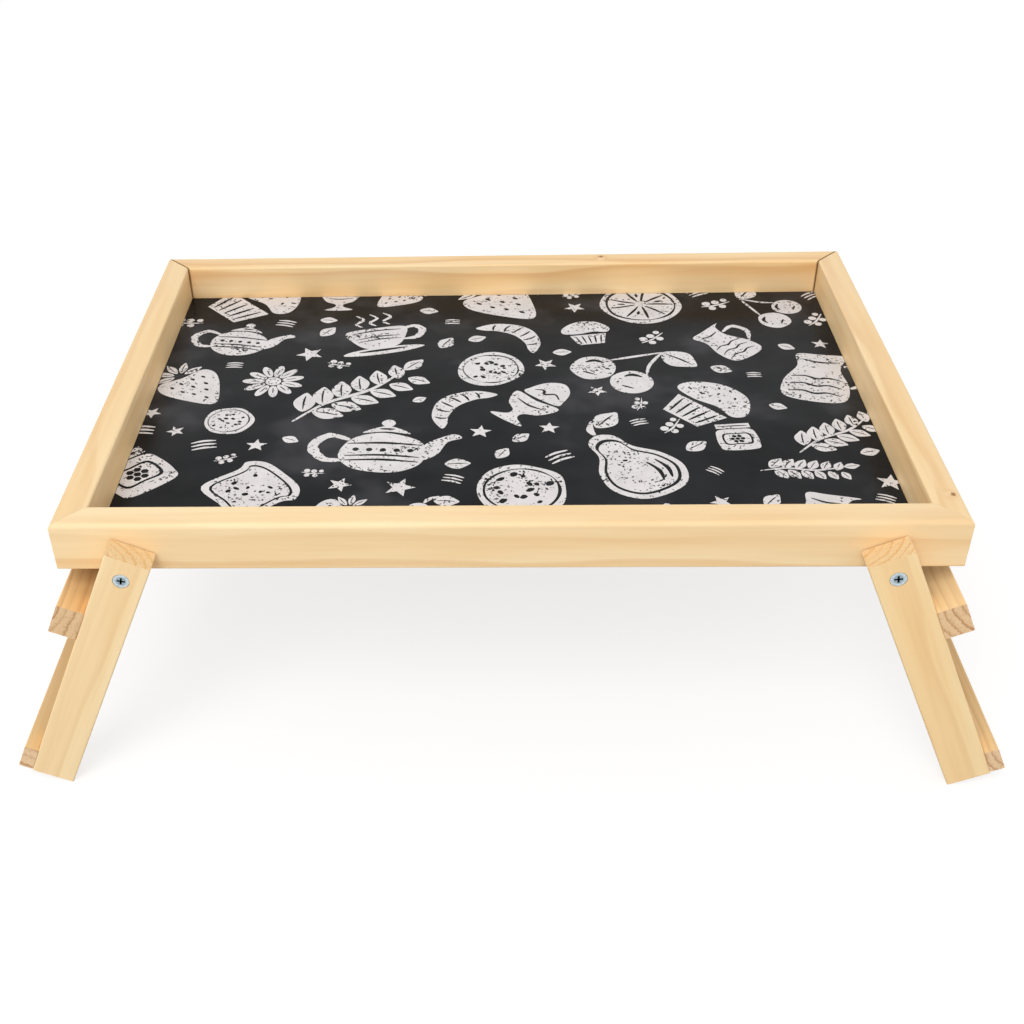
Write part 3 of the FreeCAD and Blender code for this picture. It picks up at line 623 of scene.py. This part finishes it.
def room_for(groups, x, y, turn, size, taken):
    """The cells of the panel that a drawing would cover, or none where one is taken already."""
    cells = set()
    cosine, sine = size * math.cos(turn), size * math.sin(turn)
    for loops in groups:
        # Points from the outline's middle out to its line stand for all that it covers.
        across, up = (sum(values) / len(values) for values in zip(*loops[0]))
        for a, b in loops[0]:
            for share in (0.2, 0.4, 0.6, 0.8, 1.0):
                right, above = across + (a - across) * share, up + (b - up) * share
                cell = (round((x + right * cosine - above * sine) / CELL),
                        round((y + right * sine + above * cosine) / CELL))
                if cell in taken:
                    return set()
                cells.add(cell)
    return cells


# Large drawings are strewn first, then middling ones, then small ones in the gaps that are left: how
# many are tried, and their least and greatest size.
STREWN = ((MAIN, 8, 1.65, 1.95), (MAIN, 18, 1.25, 1.5), (MAIN, 28, 0.9, 1.15), (FILLERS, 80, 0.8, 1.4))
ink = bmesh.new()
layer = film_high.z + INK_THICK / 2
# Half the laminate's sides, in millimetres.
reach_x, reach_y = (film_high.x - film_low.x) * 500, (film_high.y - film_low.y) * 500
taken = set()
for motifs, count, small, large in STREWN:
    deck = []
    for _ in range(count):
        if not deck:
            deck = list(motifs)
            draw.shuffle(deck)
        motif, size = deck.pop()(), draw.uniform(small, large)
        for _ in range(TRIES):
            x, y = draw.uniform(-reach_x, reach_x), draw.uniform(-reach_y, reach_y)
            turn = draw.uniform(-TILT, TILT)
            cells = room_for(motif, x, y, turn, size, taken)
            if cells:
                for a, b in cells:
                    taken.update((a + across, b + up) for across in (-1, 0, 1) for up in (-1, 0, 1))
                for mesh in print_ink(motif, x / 1000, y / 1000, turn, size, layer):
                    ink.from_mesh(mesh)
                    bpy.data.meshes.remove(mesh)
                break

# Drawings that reach past the laminate are cut off just inside its edges, and the cuts are closed.
for edge, normal in ((film_low, Vector((-1, 0, 0))), (film_low, Vector((0, -1, 0))),
                     (film_high, Vector((1, 0, 0))), (film_high, Vector((0, 1, 0)))):
    everything = ink.verts[:] + ink.edges[:] + ink.faces[:]
    cut = bmesh.ops.bisect_plane(ink, geom=everything, plane_co=edge - normal * INK_MARGIN,
                                 plane_no=normal, clear_outer=True)
    rim = [item for item in cut["geom_cut"] if isinstance(item, bmesh.types.BMEdge)]
    bmesh.ops.holes_fill(ink, edges=rim)
ink_mesh = bpy.data.meshes.new("chalk_drawings")
ink.to_mesh(ink_mesh)
ink.free()
chalk_drawings = bpy.data.objects.new("chalk_drawings", ink_mesh)
bpy.context.scene.collection.objects.link(chalk_drawings)

# The charcoal that shows where the ink is worn away.
FILM_DARK = "#1B1C1E"

chalk_ink, tree, surface = new_material("laminate_ink_chalk_white")
place = add_node(tree, "TexCoord", {}).outputs["Object"]
# Worn specks are a millimetre or less across, and thicker in some patches, 17 mm wide, than in others.
wear = add_node(tree, "TexNoise", {"Vector": place, "Scale": 60, "Detail": 2}).outputs["Fac"]
speck = add_node(tree, "TexNoise", {"Vector": place, "Scale": 520, "Detail": 2.5,
                                    "Roughness": 0.6}).outputs["Fac"]
worn = add_node(tree, "Math", {0: wear, 1: 0.35, 2: speck}, operation="MULTIPLY_ADD").outputs[0]
worn = add_node(tree, "MapRange", {"Value": worn, "From Min": 0.79, "From Max": 0.815}).outputs[0]
film = add_node(tree, "TexNoise", {"Vector": place, "Scale": 90, "Detail": 3}).outputs["Fac"]
pale = shade(tree, ((0.3, "#D9D5D5"), (0.7, "#E6E2E2")), film)
tree.links.new(add_node(tree, "Mix", {0: worn, 6: pale, 7: linear(FILM_DARK)}, data_type="RGBA").outputs[2],
               surface.inputs["Base Color"])
gloss(tree, surface, place)
ink_mesh.materials.append(chalk_ink)
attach(chalk_drawings, "tray")


# --- The pivot screws and their washers -------------------------------------------------------------
# Countersunk wood screws with a cross recess, bright zinc-plated steel with a cool blue passivation.
# Each holds one leg's top end to a rail, with a plain washer in the gap behind it. Painted shade
# darkens the plating round the cross, and the cross recess is painted dark as painted shade.

# The four screws stand mirrored, so the back right one's face and axis serve for them all.
HEAD_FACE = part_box("pivot_screw_back_right")[1].y
SCREW_AXIS = middle_of("pivot_screw_back_right")


def zinc(name, driven):
    """Zinc plating with a cool bloom; on a driven screw, painted shade darkens the head round the cross and
    the cross recess.
    """
    material, tree, surface = new_material(name)
    place = add_node(tree, "TexCoord", {}).outputs["Object"]
    # The bloom's patches are drawn 1.4 mm wide, far coarser than real crystals, so that they show.
    bloom = add_node(tree, "TexNoise", {"Vector": place, "Scale": 700, "Detail": 3}).outputs["Fac"]
    plated = shade(tree, ((0.3, "#A9B8BF"), (0.55, "#C6D2D7"), (0.8, "#D6DCD8")), bloom)
    if driven:
        # Painted shade darkens the plating to 2.4 mm from the screw's axis and fades out by 3.4 mm; the cross
        # recess is painted dark as painted shade, from 0.1 mm below the head's face down to 0.9 mm.
        mirrored = add_node(tree, "VectorMath", {0: place}, operation="ABSOLUTE").outputs[0]
        off = add_node(tree, "VectorMath", {0: mirrored, 1: (*SCREW_AXIS,)}, operation="SUBTRACT").outputs[0]
        off = add_node(tree, "VectorMath", {0: off, 1: (1, 0, 1)}, operation="MULTIPLY").outputs[0]
        off = add_node(tree, "VectorMath", {0: off}, operation="LENGTH").outputs["Value"]
        head_shade = add_node(tree, "MapRange", {"Value": off, "From Min": 0.0024, "From Max": 0.0034,
                                              "To Min": 0.75, "To Max": 0}).outputs[0]
        plated = add_node(tree, "Mix", {0: head_shade, 6: plated, 7: linear("#7E929C")},
                          data_type="RGBA").outputs[2]
        # Painted shade: the cross recess is painted dark.
        outward = add_node(tree, "SeparateXYZ", {0: mirrored}).outputs["Y"]
        recess_shade = add_node(tree, "MapRange", {"Value": outward, "From Min": HEAD_FACE - 0.0009,
                                           "From Max": HEAD_FACE - 0.0001,
                                           "To Min": 1, "To Max": 0}).outputs[0]
        plated = add_node(tree, "Mix", {0: recess_shade, 6: plated, 7: linear("#2F383E")},
                          data_type="RGBA").outputs[2]
    tree.links.new(plated, surface.inputs["Base Color"])
    tree.links.new(add_node(tree, "MapRange", {"Value": bloom, "To Min": 0.25, "To Max": 0.45}).outputs[0],
                   surface.inputs["Roughness"])
    surface.inputs["Metallic"].default_value = 1
    return material


zinc_screw = zinc("steel_zinc_plated_painted_shade", True)
zinc_washer = zinc("steel_zinc_plated_blue", False)
for name in nodes:
    if name.startswith("pivot_"):
        use(name, zinc_screw if "screw" in name else zinc_washer)


# --- Brads, staples and corner angles ---------------------------------------------------------------
# Bright drawn steel wire and strip, driven flush: brads through the bars into the legs, staples up
# through the panel, and angles pressed up into the mitres. Faintly scored from the driving.

drawn_steel, tree, surface = new_material("steel_drawn_bright")
place = add_node(tree, "TexCoord", {}).outputs["Object"]
# Scores are drawn 0.7 mm wide, coarser than real ones, so that they show.
scores = add_node(tree, "TexNoise", {"Vector": place, "Scale": 1500, "Detail": 3}).outputs["Fac"]
tree.links.new(shade(tree, ((0.3, "#8F8D8A"), (0.7, "#B9B7B2")), scores), surface.inputs["Base Color"])
tree.links.new(add_node(tree, "MapRange", {"Value": scores, "To Min": 0.3, "To Max": 0.5}).outputs[0],
               surface.inputs["Roughness"])
surface.inputs["Metallic"].default_value = 1
for name in nodes:
    if "brads" in name or name in ("board_staples", "corner_angles"):
        use(name, drawn_steel)


# --- Floor, light and camera ------------------------------------------------------------------------
# A white studio sweep: the floor keeps a pale version of the shadow and melts into white. The sweep
# lights the object from all round, most from low down, and one soft lamp stands high in front, to the
# left.

# How much the floor glows where it is seen, and the sweep's light at the horizon and from HIGH upward.
FLOOR_GLOW = 0.7
LOW_LIGHT, HIGH_LIGHT, HIGH = 1.49, 0.53, 0.8


def seen_rays(tree):
    """1 for what the camera, metal or glass sees of the sweep, 0 for the light that it gives."""
    rays = add_node(tree, "LightPath", {})
    seen = rays.outputs["Is Camera Ray"]
    for name in ("Is Glossy Ray", "Is Transmission Ray"):
        seen = add_node(tree, "Math", {0: seen, 1: rays.outputs[name]}, operation="MAXIMUM").outputs[0]
    return seen


bpy.ops.mesh.primitive_plane_add(size=12)
floor = bpy.context.object
floor.name = "studio_floor"
white_floor, tree, surface = new_material("floor_painted_white")
surface.inputs["Base Color"].default_value = linear("#A4A4A4")
surface.inputs["Roughness"].default_value = 0.9
surface.inputs["Specular IOR Level"].default_value = 0
surface.inputs["Emission Color"].default_value = (1, 1, 1, 1)
tree.links.new(add_node(tree, "Math", {0: seen_rays(tree), 1: FLOOR_GLOW}, operation="MULTIPLY").outputs[0],
               surface.inputs["Emission Strength"])
floor.data.materials.append(white_floor)

world = bpy.data.worlds.new("studio")
bpy.context.scene.world = world
world.use_nodes = True
tree = world.node_tree
up = add_node(tree, "SeparateXYZ", {0: add_node(tree, "TexCoord", {}).outputs["Generated"]}).outputs["Z"]
sweep = add_node(tree, "MapRange", {"Value": up, "From Min": 0, "From Max": HIGH, "To Min": LOW_LIGHT,
                                    "To Max": HIGH_LIGHT}).outputs[0]
level = add_node(tree, "Mix", {0: seen_rays(tree), 2: sweep, 3: 1.0}).outputs[0]
tree.links.new(level, tree.nodes["Background"].inputs["Strength"])
tree.nodes["Background"].inputs["Color"].default_value = (1, 1, 1, 1)

lamp = bpy.data.lights.new("softbox", "AREA")
lamp.energy = 25
lamp.size = 1.2
softbox = bpy.data.objects.new("softbox", lamp)
softbox.location = (-0.55, -1.5, 2.0)
aim = Vector((0, 0, 0.15))
softbox.rotation_euler = (aim - softbox.location).to_track_quat("-Z", "Y").to_euler()
bpy.context.scene.collection.objects.link(softbox)

# The camera stands where the photograph's perspective puts it; the shift is the photograph's framing.
SENSOR, FOCAL, SHIFT = 36, 46.33, 0.0705
STAND = (-0.00697, -0.74226, 0.60646)
PITCH, YAW, ROLL = 35.80, -2.795, -1.90
camera = bpy.data.cameras.new("camera")
camera.sensor_width = SENSOR
camera.lens = FOCAL
camera.shift_x = SHIFT
viewer = bpy.data.objects.new("camera", camera)
viewer.matrix_world = (Matrix.Translation(STAND)
                       @ Matrix.Rotation(math.radians(-YAW), 4, "Z")
                       @ Matrix.Rotation(math.radians(90 - PITCH), 4, "X")
                       @ Matrix.Rotation(math.radians(ROLL), 4, "Z"))
bpy.context.scene.collection.objects.link(viewer)
bpy.context.scene.camera = viewer
bpy.context.scene.view_settings.view_transform = "Standard"

bpy.context.view_layer.update()
